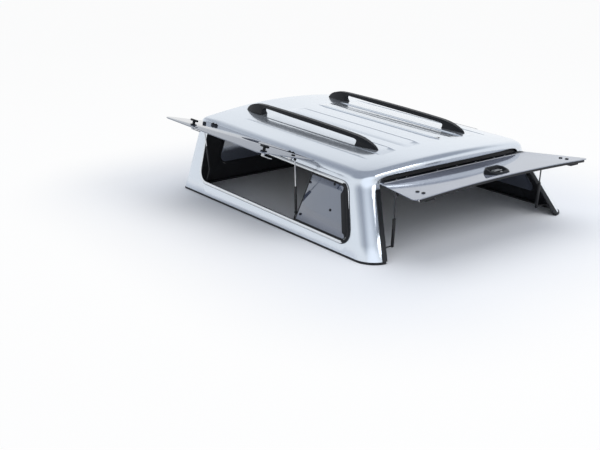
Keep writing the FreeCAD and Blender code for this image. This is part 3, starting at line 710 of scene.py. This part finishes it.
def rim_rubber(name, grow, section, side):
    """A closed rubber bead round a side window, its section given as (inward, out) pairs."""
    loop = window_loop(grow, 0.0, side)
    out = side_facing(side)
    centre = sum(loop, Vector()) / len(loop)
    rings = []
    for index, spot in enumerate(loop):
        along = (loop[(index + 1) % len(loop)] - loop[index - 1]).normalized()
        inward = inward_way(along, side, spot, centre)
        rings.append([spot + inward * depth + out * height for depth, height in section])
    finished(swept(rings, True), name, "canopy", rubber, 60.0)


bead_section = (
    (-0.001, 0.0046), (0.0012, 0.0052), (0.0034, 0.0046), (0.0042, 0.002), (0.003, -0.0075), (0.0004, -0.0075),
)
# The outer line's section: its black is painted shade of the gap round the rim's outer edge.
rim_shade_section = ((-0.0006, -0.001), (-0.0016, 0.0022), (-0.0006, 0.0036), (0.001, 0.0036), (0.0016, -0.001))
for side, name in both_sides:
    softened(name + "_window_rim", name + "_rim", 0.0012, "canopy", bright_rim, 60.0)
    rim_rubber(name + "_rim_bead", 0.0, bead_section, side)
    rim_rubber(name + "_rim_shade_line", 0.0142, rim_shade_section, side)

# Rear window strips: a black strip over the rear end of each fixed pane, which laps over the frame. Its
# black stands for the dark recess at the pane's rear end: partly the black inside that recess, partly
# painted shade. It is widest down the rear edge and tapers at both ends.
trim_black = ("black_trim", grained(
    "black_moulded_trim", (0.005, 0.006, 0.008), (0.009, 0.01, 0.013),
    patch=30.0, roughness=0.42, spread=0.05, grain=1500.0, depth=0.00006, gleam=0.15,
))
dark_strip_corner = 1.4
dark_strip_start = 1.505
dark_strip_foot = 1.6
dark_strip_step = 0.008
dark_strip_least = 0.006
dark_strip_most = 0.042
dark_strip_lap = 0.0138
for side, name in both_sides:
    # The rear part of the window's edge, from its upper end down, with a point every few millimetres.
    run = [spot for spot in window_loop(0.0, 0.0, side) if -spot.y > dark_strip_corner]
    longest = max(range(len(run)), key=lambda index: (run[index] - run[index - 1]).length)
    run = run[longest:] + run[:longest]
    if run[0].z < run[-1].z:
        run.reverse()
    dense = []
    for near_spot, far_spot in zip(run, run[1:]):
        pieces = max(1, int((far_spot - near_spot).length / dark_strip_step))
        dense += [near_spot.lerp(far_spot, piece / pieces) for piece in range(pieces)]
    dense.append(run[-1])
    dense = [spot for spot in dense if -spot.y > (dark_strip_foot if spot.z < 0.1 else dark_strip_start)]
    dense.insert(0, side_point(1.5, 0.35, 0.0, side))
    pane_middle = side_point(1.3, 0.2, 0.0, side)
    out = side_facing(side)
    rings = []
    for index, spot in enumerate(dense):
        ahead = dense[min(index + 1, len(dense) - 1)]
        behind = dense[max(index - 1, 0)]
        inward = inward_way((ahead - behind).normalized(), side, spot, pane_middle)
        swell = math.sin(index / (len(dense) - 1) * math.pi)
        reach = dark_strip_least + dark_strip_most * eased(min(1.0, swell * 1.35))
        lap = dark_strip_lap * min(1.0, swell * 5.0 + 0.35)
        rings.append([
            spot + inward * depth + out * height
            for depth, height in (
                (-lap, 0.0002), (-lap, 0.0054), (-lap + 0.0012, 0.0066), (0.002, 0.0066), (0.0042, 0.0052),
                (0.006, 0.003), (reach - 0.0015, 0.0026), (reach, 0.0016), (reach, -0.0012), (0.005, -0.0012),
                (0.002, 0.0002),
            )
        ])
    # The strip's black is partly painted shade of the recess behind the pane's rear end.
    finished(swept(rings), name + "_pane_dark_strip", "canopy", trim_black, 45.0)

# Side glass: dark tinted safety glass with polished edges. The rear panes are glued in a rubber
# seal and held by four capped bolts, and the front ones lift. The left one is raised.


def tinted(name, tone, clearness, index, roughness):
    """Dark tinted safety glass, its polish broken by a trace of film."""
    finish = grained(name, tone, tuple(part * 1.35 for part in tone), 3.0, roughness, 0.012, 90.0, 0.000002)
    shader = finish.node_tree.nodes["Principled BSDF"]
    shader.inputs["IOR"].default_value = index
    shader.inputs["Transmission Weight"].default_value = clearness
    shader.inputs["Specular Tint"].default_value = (0.8, 0.88, 1.0, 1.0)
    shader.inputs["Coat Weight"].default_value = 0.35
    shader.inputs["Coat Roughness"].default_value = 0.01
    return finish


side_glass = ("glass", tinted(
    "tinted_side_glass", (0.052, 0.062, 0.092), clearness=0.1, index=2.45, roughness=0.02,
))


def capped_bolt(spot, facing, radius, height, name, body="canopy", finish=trim_black):
    """A round bolt cap with a domed top, set down on a face."""
    shape = bmesh.new()
    bmesh.ops.create_circle(shape, cap_ends=True, cap_tris=False, segments=24, radius=radius)
    thickened(shape, shape.faces[:][0], (0.0, 0.0, height))
    lid = max(shape.faces, key=lambda face: face.calc_center_median().z)
    bmesh.ops.bevel(
        shape, geom=list(lid.edges), offset=height * 0.55, offset_type="OFFSET", segments=3, profile=0.5,
        affect="EDGES", material=-1,
    )
    turn = facing.to_track_quat("Z", "Y").to_matrix().to_4x4()
    bmesh.ops.transform(shape, matrix=Matrix.Translation(spot) @ turn, verts=shape.verts)
    finished(shape, name, body, finish, 40.0)


for side, name in both_sides:
    softened(name + "_fixed_pane", name + "_rear_pane", 0.0008, "canopy", side_glass, 60.0)
    softened(name + "_pane_seal", name + "_rear_pane_seal", 0.0008, "canopy", rubber, 60.0)
    lifted = "_raised_glass" if side < 0 else "_shut_glass"
    softened(name + "_lift_glass", name + lifted, 0.001, "canopy", side_glass, 60.0)
    for number, (back, height) in enumerate(((1.228, 0.3), (1.217, 0.12), (1.451, 0.198), (1.431, 0.333))):
        cap_name = "{}_pane_cap_{}".format(name, number + 1)
        capped_bolt(side_point(back, height, -0.0015, side), side_facing(side), 0.0075, 0.0045, cap_name)

# Window hinges: small cast blocks under the glass's top edge. Each is clamped to the glass by a thin
# black leaf with two domed bolts.
lift_angle = math.radians(14.4)
glass_front = 0.096
glass_thickness = 0.005


def hinge_pin(side, back):
    """A point on the line that a lift glass turns about."""
    return side_point(back, 0.436 - 0.02 * (back - glass_front), 0.006, side)


def lift_glass_facing(side):
    """The way that a lift glass's outer face looks: the left one is raised."""
    if side < 0:
        return Vector((math.sin(lift_angle), 0.0, math.cos(lift_angle)))
    return side_facing(side)


def on_lift_glass(side, back, out, lift):
    """A point on a lift glass's outer face, at a distance from its hinge line, or standing off it."""
    if side < 0:
        way = Vector((-math.cos(lift_angle), 0.0, math.sin(lift_angle)))
    else:
        way = Vector((math.sin(side_fall), 0.0, -math.cos(side_fall)))
    return hinge_pin(side, back) + way * out + lift_glass_facing(side) * (glass_thickness + lift)


alloy = ("alloy", grained(
    "cast_alloy", (0.55, 0.56, 0.58), (0.63, 0.64, 0.66),
    patch=24.0, roughness=0.34, spread=0.06, grain=900.0, depth=0.00002, metallic=0.95,
))
for side, name in both_sides:
    softened(name + "_window_hinges", name + "_hinge_blocks", 0.0012, "canopy", trim_black, 60.0)
    for number, back in enumerate((0.214, 1.033)):
        leaf = bmesh.new()
        corners = [
            on_lift_glass(side, back + along, out, -0.0004)
            for along, out in ((-0.027, 0.01), (0.027, 0.01), (0.027, 0.03), (-0.027, 0.03))
        ]
        thickened(leaf, rounded_face(leaf, corners, [0.004] * 4, 6), lift_glass_facing(side) * 0.0026)
        ease_edges(leaf, 0.0007)
        finished(leaf, "{}_hinge_leaf_{}".format(name, number + 1), "canopy", trim_black)
        for end, shift in (("front", -0.0165), ("rear", 0.0165)):
            bolt_name = "{}_hinge_bolt_{}_{}".format(name, number + 1, end)
            spot = on_lift_glass(side, back + shift, 0.02, 0.002)
            capped_bolt(spot, lift_glass_facing(side), 0.0062, 0.0052, bolt_name)

# Window handles: black T-handles outside, each turning a bright latch arm on the glass's inner
# face. The left pair is unlocked, and the right pair is locked under the opening's edge. Their knobs
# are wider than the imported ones.


def raised_inner(point):
    """Whether a point is under the raised left glass."""
    glass_height = 0.4225 - 0.0205 * (-point.y - 0.76) + (-point.x - 0.65) * math.tan(lift_angle)
    return point.z < glass_height - 0.004


def shut_inner(point):
    """Whether a point is on the inner side of the shut right glass."""
    return point.x < half_width - lean * point.z + 0.004


knob_growth = 1.25
for side, name, inner, rise in ((-1, "left", raised_inner, 1.08), (1, "right", shut_inner, 0.92)):
    handles = softened(
        name + "_t_handles", name + "_handles", 0.001, "canopy", trim_black, second=alloy, chosen=inner
    )
    facing = lift_glass_facing(side)
    outer = [vertex for vertex in handles.data.vertices if not inner(vertex.co)]
    halfway = sum(vertex.co.y for vertex in outer) / len(outer)
    # Each knob grows about its foot on the glass, by less in height than in width.
    for front_one in (True, False):
        knob = [vertex for vertex in outer if (vertex.co.y > halfway) == front_one]
        middle = sum((vertex.co for vertex in knob), Vector()) / len(knob)
        foot = middle + facing * (min(vertex.co.dot(facing) for vertex in knob) - middle.dot(facing))
        for vertex in knob:
            lift = (vertex.co - foot).dot(facing)
            vertex.co = foot + (vertex.co - foot) * knob_growth - facing * lift * (knob_growth - rise)

# Window gas struts: two on each side, black coated tubes with polished rods, held by pins on the
# shell and on the glass. The glass carries their heads up with it.
black_steel = ("black_steel", grained(
    "black_coated_steel", (0.01, 0.011, 0.013), (0.018, 0.019, 0.022),
    patch=26.0, roughness=0.36, spread=0.05, grain=1100.0, depth=0.00004, metallic=0.2, gleam=0.35,
))
rod_steel = ("rod_steel", grained(
    "polished_rod_steel", (0.56, 0.57, 0.59), (0.62, 0.63, 0.65),
    patch=40.0, roughness=0.16, spread=0.04, grain=1400.0, depth=0.000006, metallic=1.0,
))
front_strut = 0.225
rear_strut = 1.16
tube_length = 0.1556
head_eye = 0.008


def bare_rod(foot, head, point):
    """Whether a point is on the bare rod of a strut."""
    way = (head - foot).normalized()
    start = foot + way * tube_length
    reach = (point - start).dot(way)
    away = (point - start - way * reach).length
    return 0.0 < reach < (head - way * head_eye - start).length and away < 0.0045


def strut_rods(side):
    """Tells the faces on either rod of one side's two struts."""
    ends = []
    for back, foot_height in ((front_strut, 0.168), (rear_strut, 0.118)):
        head = side_point(back, 0.331, -0.008, side)
        if side < 0:
            front_pin = hinge_pin(side, glass_front)
            rear_pin = hinge_pin(side, 1.236)
            turn = Matrix.Rotation(math.pi / 2.0 - side_fall + lift_angle, 3, front_pin - rear_pin)
            head = front_pin + turn @ (head - front_pin)
        foot = side_point(back, foot_height, -0.016, side)
        ends.append((foot, head))
    return lambda point: any(bare_rod(foot, head, point) for foot, head in ends)


for side, name in both_sides:
    softened(
        name + "_window_struts", name + "_glass_struts", 0.0008, "canopy", black_steel,
        second=rod_steel, chosen=strut_rods(side),
    )

# Strut mounts: a bright alloy boss glued under the glass at each strut's upper end, and a black bolt
# through the glass beside it.
for side, name in both_sides:
    facing = lift_glass_facing(side)
    for end, back in (("front", front_strut), ("rear", rear_strut)):
        mount = "_".join((name, end, "strut_"))
        spot = on_lift_glass(side, back - 0.024, 0.105, -0.0048)
        capped_bolt(spot, facing * -1.0, 0.0165, 0.026, mount + "boss", "canopy", alloy)
        capped_bolt(on_lift_glass(side, back, 0.105, -0.0002), facing, 0.0115, 0.008, mount + "bolt")

# Front window: a fixed tinted pane in the front wall. It is bonded in a black rubber seal, and the
# seal is clamped round the opening's edge.
softened("front_window_seal", "front_pane_seal", 0.0012, "canopy", rubber, 60.0)
softened("front_window", "front_pane", 0.0008, "canopy", side_glass, 60.0)

# Rear door glass: one frameless pane of tinted glass, bowed a little, hung from its upper edge and shown
# raised. Its grey, lighter than the side glass's, is painted reflection of the pale surroundings. Its
# edges are ground and polished.
door_glass = ("glass", tinted(
    "door_glass_painted_reflection", (0.17, 0.185, 0.23), clearness=0.05, index=1.85, roughness=0.09,
))
opening_top = 0.366
hinge_back = length - rake * opening_top + 0.002
hinge_height = 0.36
door_start = 0.016
door_reach = 0.392
door_end = door_start + door_reach
tilt = math.radians(2.8)


def door_half(along):
    """Half the width of the door's glass at a distance from the hinge."""
    return opening_half - lean * opening_top + 0.012 + lean * along * math.cos(math.atan(rake))


def on_door(along, across, lift=0.0):
    """A point on the open door's outer face, or standing off it by an amount."""
    bow = 0.0006 + 0.0194 * (along - door_start) / door_reach
    share = across / door_half(along)
    rise = 0.0145 + bow * (1.0 - share * share) + lift
    return Vector((
        across,
        -hinge_back - along * math.cos(tilt) + rise * math.sin(tilt),
        hinge_height + along * math.sin(tilt) + rise * math.cos(tilt),
    ))


def door_facing():
    """The way that the open door's outer face looks."""
    return Vector((0.0, math.sin(tilt), math.cos(tilt)))


pane = bmesh.new()
pane_corners = [
    Vector((door_half(along) * sign, along, 0.0))
    for along, sign in ((door_start, -1.0), (door_start, 1.0), (door_end, 1.0), (door_end, -1.0))
]
pane_radii = [0.014, 0.014, 0.026, 0.026]
thickened(pane, rounded_face(pane, pane_corners, pane_radii, 8), Vector((0.0, 0.0, -glass_thickness)))
for step in range(1, 46):
    sliced(pane, (-opening_half + 0.03 * step, 0.0, 0.0), (1.0, 0.0, 0.0))
for step in range(1, 14):
    sliced(pane, (0.0, door_start + 0.028 * step, 0.0), (0.0, 1.0, 0.0))
ease_edges(pane, 0.0009, 60.0)
for vertex in pane.verts:
    vertex.co = on_door(vertex.co.y, vertex.co.x, vertex.co.z)
door_pane = finished(pane, "rear_pane", "rear_door", door_glass, 20.0)
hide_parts("rear_door_glass")

# Door edge strip: a black rubber profile pressed on under the glass's free edge. It seals the shut
# door along its foot and guards the edge.


def across_door(section, reach, spans):
    """A strip across the door that follows its bow, from (along, lift) pairs."""
    rings = []
    for step in range(spans + 1):
        across = reach * (2.0 * step / spans - 1.0)
        rings.append([on_door(along, across, lift) for along, lift in section])
    return swept(rings)


edge_section = (
    (0.399, -0.005), (0.4068, -0.005), (0.4074, -0.0062), (0.4074, -0.015), (0.405, -0.0185),
    (0.401, -0.0195), (0.3975, -0.018), (0.3968, -0.012), (0.398, -0.0066),
)
finished(across_door(edge_section, 0.64, 60), "door_edge_strip", "rear_door", rubber, 50.0)

# Door hinge cover: a black extrusion that caps the glass's upper edge, with a bright lip along the
# glass and small pan-head screws down to the hinge strip below.
softened("rear_door_hinge_strip", "door_hinge_half", 0.0006, "rear_door", alloy)
softened("rear_hinge_rail", "body_hinge_half", 0.0008, "canopy", alloy)
cover_section = (
    (0.0075, 0.0002), (0.0065, 0.0012), (0.0075, 0.003), (0.01, 0.0036), (0.038, 0.0036),
    (0.0415, 0.0028), (0.043, 0.0012), (0.043, 0.0001),
)
finished(across_door(cover_section, 0.553, 32), "door_hinge_cover", "rear_door", trim_black, 45.0)
lip_section = (
    (0.0428, 0.0001), (0.043, 0.0018), (0.044, 0.0024), (0.047, 0.0024), (0.048, 0.0017), (0.0482, 0.0001),
)
finished(across_door(lip_section, 0.556, 32), "door_cover_lip", "rear_door", alloy, 45.0)
for number, across in enumerate((-0.457, -0.385, -0.153, 0.0, 0.153, 0.306, 0.394)):
    screw_name = "cover_screw_{}".format(number + 1)
    capped_bolt(on_door(0.033, across, 0.0034), door_facing(), 0.0042, 0.002, screw_name, "rear_door", alloy)

# Door bolt caps: two black moulded caps at each side of the glass, snapped over the bolts that hold
# the latches to it.
for side, name in both_sides:
    for number, along in enumerate((0.302, 0.345)):
        cap_name = "{}_door_cap_{}".format(name, number + 1)
        spot = on_door(along, side * 0.5625, -0.0003)
        capped_bolt(spot, door_facing(), 0.0105, 0.0052, cap_name, "rear_door")

# Rear handle: a black moulded housing clamped through the glass, with chamfered corners, a sunk
# tray and a folding paddle in it. A key lock sits below the paddle.
handle_along = 0.325
rim_height = 0.004
rim_slant = 19.0


def handle_ring(shape, reach_x, reach_y, chamfer, lift):
    """One eight-cornered loop of the housing over the glass. The rim slants down to the free edge."""
    corners = []
    for x_sign, y_sign, first in (
        (1, 1, "x"), (1, 1, "y"), (-1, 1, "y"), (-1, 1, "x"),
        (-1, -1, "x"), (-1, -1, "y"), (1, -1, "y"), (1, -1, "x"),
    ):
        x = x_sign * (reach_x if first == "x" else reach_x - chamfer)
        y = y_sign * (reach_y if first == "y" else reach_y - chamfer)
        corners.append(shape.verts.new(
            on_door(handle_along, 0.0, lift) + Vector((x, -math.cos(tilt) * y, math.sin(tilt) * y))
            - door_facing() * (max(0.0, lift - rim_height) * rim_slant * y)
        ))
    return [shape.edges.new((corners[index - 1], corners[index])) for index in range(8)]


housing = bmesh.new()
loops = [
    handle_ring(housing, reach_x, reach_y, chamfer, lift)
    for reach_x, reach_y, chamfer, lift in (
        (0.078, 0.049, 0.029, -0.0012), (0.078, 0.049, 0.029, 0.0028), (0.0715, 0.043, 0.0265, 0.0155),
        (0.066, 0.0385, 0.0235, 0.019), (0.054, 0.027, 0.009, 0.0186), (0.05, 0.023, 0.006, 0.0115),
        (0.0485, 0.0215, 0.005, 0.0025),
    )
]
for near_loop, far_loop in zip(loops, loops[1:]):
    bmesh.ops.bridge_loops(housing, edges=near_loop + far_loop)
bmesh.ops.holes_fill(housing, edges=[edge for edge in housing.edges if edge.is_boundary], sides=0)
bmesh.ops.recalc_face_normals(housing, faces=housing.faces)
ease_edges(housing, 0.0014, 25.0, 3)
handle_housing = finished(housing, "rear_handle_housing", "rear_door", trim_black, 35.0)
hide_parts("rear_handle_base")
softened("rear_handle_paddle", "handle_flap", 0.0009, "handle_paddle", trim_black)
bar_half = 0.03
bar_side = 0.003
for number, along in enumerate((handle_along - 0.0095, handle_along + 0.0095)):
    bar = bmesh.new()
    bar_corners = [
        Vector((x * bar_half, y * bar_side, 0.0))
        for x, y in ((-1.0, -1.0), (1.0, -1.0), (1.0, 1.0), (-1.0, 1.0))
    ]
    thickened(bar, rounded_face(bar, bar_corners, [0.0026] * 4, 5), Vector((0.0, 0.0, 2.0 * bar_side)))
    bmesh.ops.transform(bar, matrix=Matrix.Translation(on_door(along, 0.0, 0.0086)), verts=bar.verts)
    finished(bar, "flap_bar_{}".format(number + 1), "handle_paddle", alloy, 35.0)
barrel_spot = on_door(handle_along + 0.033, 0.0, 0.008)
capped_bolt(barrel_spot, door_facing(), 0.0056, 0.0026, "handle_key_barrel", "rear_door", alloy)

# Door lock and latches: a lock body behind the handle turns two bright rods, and they draw the
# side latches in their black housings. Each latch has a steel bolt that enters the pillar.
softened("rear_lock_body", "lock_body", 0.0012, "rear_door", black_steel)
for side, name in both_sides:
    softened(name + "_latch_housing", name + "_latch_case", 0.0016, "rear_door", trim_black)
    softened(name + "_latch_rod", name + "_pull_rod", 0.0004, "rear_door", rod_steel)
    low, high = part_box(name + "_latch_housing")
    spot = (Vector(low) + Vector(high)) / 2.0 + Vector((side * 0.033, -0.006, -0.003))
    capped_bolt(
        spot, Vector((side, 0.0, 0.0)), 0.005, 0.026, name + "_latch_bolt", "rear_door", rod_steel
    )

# Door struts: a gas strut at each side, its tube's eye on a bracket on the pillar and its rod's
# eye on a lug under the glass. The rods' polished steel is painted near black, as painted shade of the
# dark opening around them, with a hard polish.
shaded_rod_steel = ("rod_steel", grained(
    "rod_steel_painted_shade", (0.05, 0.052, 0.057), (0.07, 0.072, 0.078),
    patch=40.0, roughness=0.2, spread=0.04, grain=1400.0, depth=0.000006, metallic=0.8,
))
for side, name in both_sides:
    softened(name + "_strut_bracket", name + "_strut_foot", 0.001, "canopy", black_steel)
    softened(name + "_door_lug", name + "_strut_lug", 0.0006, "rear_door", black_steel)
    softened(name + "_strut_tube", name + "_gas_tube", 0.001, name + "_strut_tube", black_steel)
    softened(name + "_strut_rod", name + "_gas_rod", 0.0004, name + "_strut_rod", shaded_rod_steel)

# Rear seals: soft black rubber strips glued down the rear faces of both pillars. The shut door
# presses on them.
for name in ("left", "right"):
    softened(name + "_rear_seal", name + "_pillar_seal", 0.0009, "canopy", rubber)

# Roof rails: two satin black alloy rails, each cast in one with its feet, arched a little and
# rounded along the top. Thin rubber pads keep their feet off the paint.
rail_black = ("rail", grained(
    "satin_black_rail", (0.006, 0.007, 0.009), (0.01, 0.011, 0.014),
    patch=22.0, roughness=0.42, spread=0.05, grain=1300.0, depth=0.00003, gleam=0.2,
))
rail_offset = 0.345
rail_front = 0.124
rail_rear = 1.405
rail_half = 0.017


def rail_base(back):
    """Height of the roof, or of the rib on it, under the rail."""
    fade = min(1.0, (back - rib_start) / rib_runout, (rib_end - back) / rib_runout)
    return roof_height(rail_offset, back) + rib_top * max(0.0, fade)


rail_side = [
    (0.124, 0.46), (0.124, 0.48), (0.129, 0.493), (0.142, 0.507), (0.162, 0.52), (0.19, 0.532),
    (0.225, 0.541), (0.265, 0.5465), (0.32, 0.5485), (0.42, 0.5478), (0.6, 0.545), (0.76, 0.541),
    (0.9, 0.5365), (1.05, 0.531), (1.17, 0.5255), (1.235, 0.5215), (1.285, 0.5155), (1.325, 0.5065),
    (1.358, 0.4965), (1.382, 0.487), (1.397, 0.4785), (1.4035, 0.47), (1.405, 0.46), (1.405, 0.44),
    (1.24, 0.44), (1.239, 0.483), (1.236, 0.493), (1.228, 0.4985), (1.212, 0.501), (1.05, 0.5065),
    (0.9, 0.5115), (0.75, 0.516), (0.6, 0.5205), (0.45, 0.5265), (0.35, 0.5295), (0.328, 0.5285),
    (0.314, 0.522), (0.308, 0.51), (0.307, 0.46),
]


def rail_reach(back, height):
    """Half the rail's width: narrow at both ends, and tapered towards the top."""
    nose = min(1.0, max(0.0, (back - rail_front) / 0.1))
    tail = min(1.0, max(0.0, (rail_rear - back) / 0.17))
    round_nose = 0.42 + 0.58 * math.sin(nose * math.pi / 2.0)
    round_tail = 0.3 + 0.7 * math.sin(tail * math.pi / 2.0)
    rise = max(0.0, min(1.0, (height - rail_base(back)) / 0.06))
    flare = 0.75 * max(0.0, 1.0 - 2.4 * rise) ** 2 * min(nose, tail)
    return rail_half * min(round_nose, round_tail) * (1.0 - 0.22 * rise + flare)


pad_section = ((-1.0, -0.004), (-1.0, 0.001), (-0.92, 0.0018), (0.92, 0.0018), (1.0, 0.001), (1.0, -0.004))
rail_spans = 48
pad_spans = 32
for side, name in both_sides:
    rail = bmesh.new()
    face = rail.faces.new([rail.verts.new((1.0, -back, height)) for back, height in rail_side])
    thickened(rail, face, Vector((-2.0, 0.0, 0.0)))
    for step in range(1, rail_spans):
        sliced(rail, (0.0, -rail_front - (rail_rear - rail_front) * step / rail_spans, 0.0), (0.0, 1.0, 0.0))
    for level in (0.47, 0.476, 0.483, 0.492):
        sliced(rail, (0.0, 0.0, level), (0.0, 0.0, 1.0))
    for vertex in rail.verts:
        back = -vertex.co.y
        reach = rail_reach(back, vertex.co.z)
        vertex.co.x = side * rail_offset + (reach if vertex.co.x > 0.0 else -reach)
        vertex.co.z = max(vertex.co.z, rail_base(back) - 0.006)
    bmesh.ops.remove_doubles(rail, verts=rail.verts, dist=0.0001)
    bmesh.ops.dissolve_degenerate(rail, dist=0.0001, edges=rail.edges)
    bmesh.ops.recalc_face_normals(rail, faces=rail.faces)
    ease_edges(rail, 0.005, 62.0, 4)
    rail_item = finished(rail, name + "_rail", "canopy", rail_black, 42.0)
    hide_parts(name + "_roof_rail")
    for end, start, stop in (("front", 0.119, 0.312), ("rear", 1.2345, 1.4095)):
        rings = []
        for step in range(pad_spans + 1):
            share = step / pad_spans
            back = start + (stop - start) * share
            tip = min(1.0, math.sqrt(min(share, 1.0 - share) * 16.0) + 0.12)
            nearest = min(rail_rear - 0.002, max(rail_front + 0.002, back))
            reach = (rail_reach(nearest, rail_base(back)) + 0.0024) * tip
            rings.append([
                Vector((side * rail_offset + across * reach, -back, rail_base(back) + lift))
                for across, lift in pad_section
            ])
        finished(swept(rings), "{}_{}_rail_pad".format(name, end), "canopy", rubber, 50.0)
